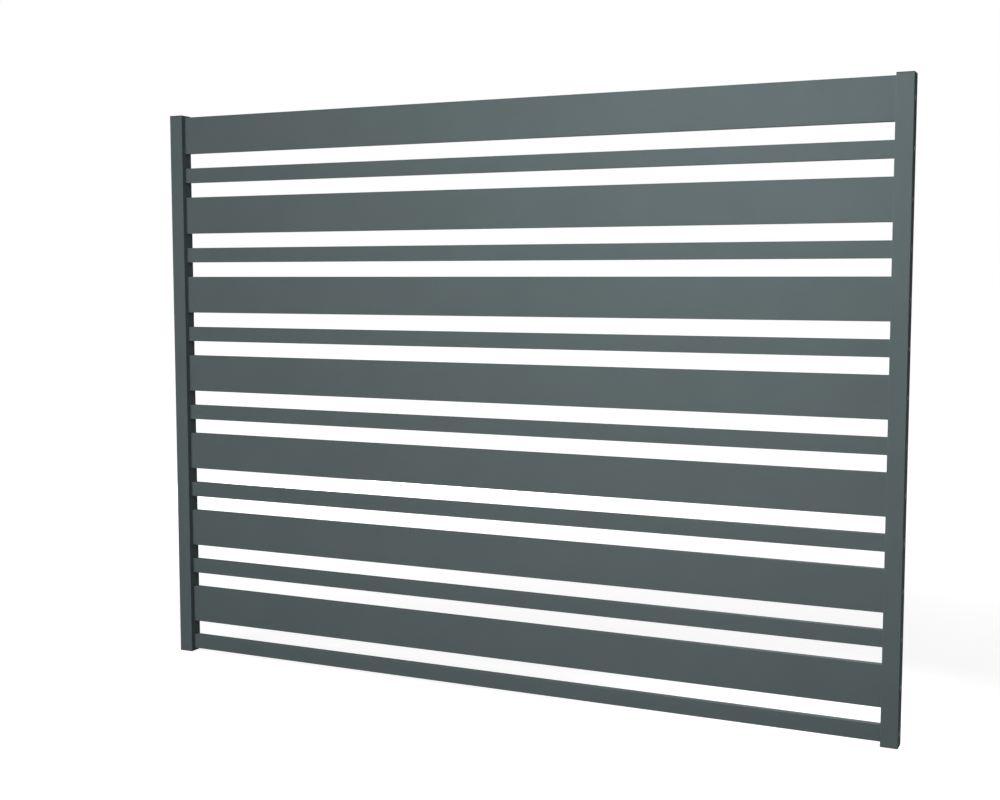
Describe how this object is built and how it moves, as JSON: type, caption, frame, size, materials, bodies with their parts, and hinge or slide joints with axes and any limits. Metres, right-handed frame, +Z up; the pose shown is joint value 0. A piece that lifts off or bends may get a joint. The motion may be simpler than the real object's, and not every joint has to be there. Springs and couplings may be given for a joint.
{
  "type": "garden privacy screen",
  "caption": "Fence panel for a garden or terrace: horizontal wide and narrow slats between two square uprights, screening a view while letting air and light through.",
  "frame": {"origin": "on the ground under the panel, midway between the uprights and midway through their depth", "axes": "+X along the slats to the right as seen from the front, +Y from the front to the back, +Z up"},
  "size_m": [2.007, 0.04, 1.513],
  "materials": {
    "powder_coat": "matte",
    "cap_plastic": "matte",
    "screw_steel": "satin"
  },
  "bodies": {
    "root": {"wide_slat_1": "powder_coat", "narrow_slat_1": "powder_coat", "wide_slat_2": "powder_coat", "narrow_slat_2": "powder_coat", "wide_slat_3": "powder_coat", "narrow_slat_3": "powder_coat", "wide_slat_4": "powder_coat", "narrow_slat_4": "powder_coat", "wide_slat_5": "powder_coat", "narrow_slat_5": "powder_coat", "wide_slat_6": "powder_coat", "narrow_slat_6": "powder_coat", "wide_slat_7": "powder_coat", "narrow_slat_7": "powder_coat", "left_upright": "powder_coat", "right_upright": "powder_coat", "left_foot_cap": "cap_plastic", "left_top_cap": "cap_plastic", "right_foot_cap": "cap_plastic", "right_top_cap": "cap_plastic", "left_screw_01": "screw_steel", "left_screw_02": "screw_steel", "left_screw_03": "screw_steel", "left_screw_04": "screw_steel", "left_screw_05": "screw_steel", "left_screw_06": "screw_steel", "left_screw_07": "screw_steel", "left_screw_08": "screw_steel", "left_screw_09": "screw_steel", "left_screw_10": "screw_steel", "left_screw_11": "screw_steel", "left_screw_12": "screw_steel", "left_screw_13": "screw_steel", "left_screw_14": "screw_steel", "right_screw_01": "screw_steel", "right_screw_02": "screw_steel", "right_screw_03": "screw_steel", "right_screw_04": "screw_steel", "right_screw_05": "screw_steel", "right_screw_06": "screw_steel", "right_screw_07": "screw_steel", "right_screw_08": "screw_steel", "right_screw_09": "screw_steel", "right_screw_10": "screw_steel", "right_screw_11": "screw_steel", "right_screw_12": "screw_steel", "right_screw_13": "screw_steel", "right_screw_14": "screw_steel"}
  },
  "joints": []
}
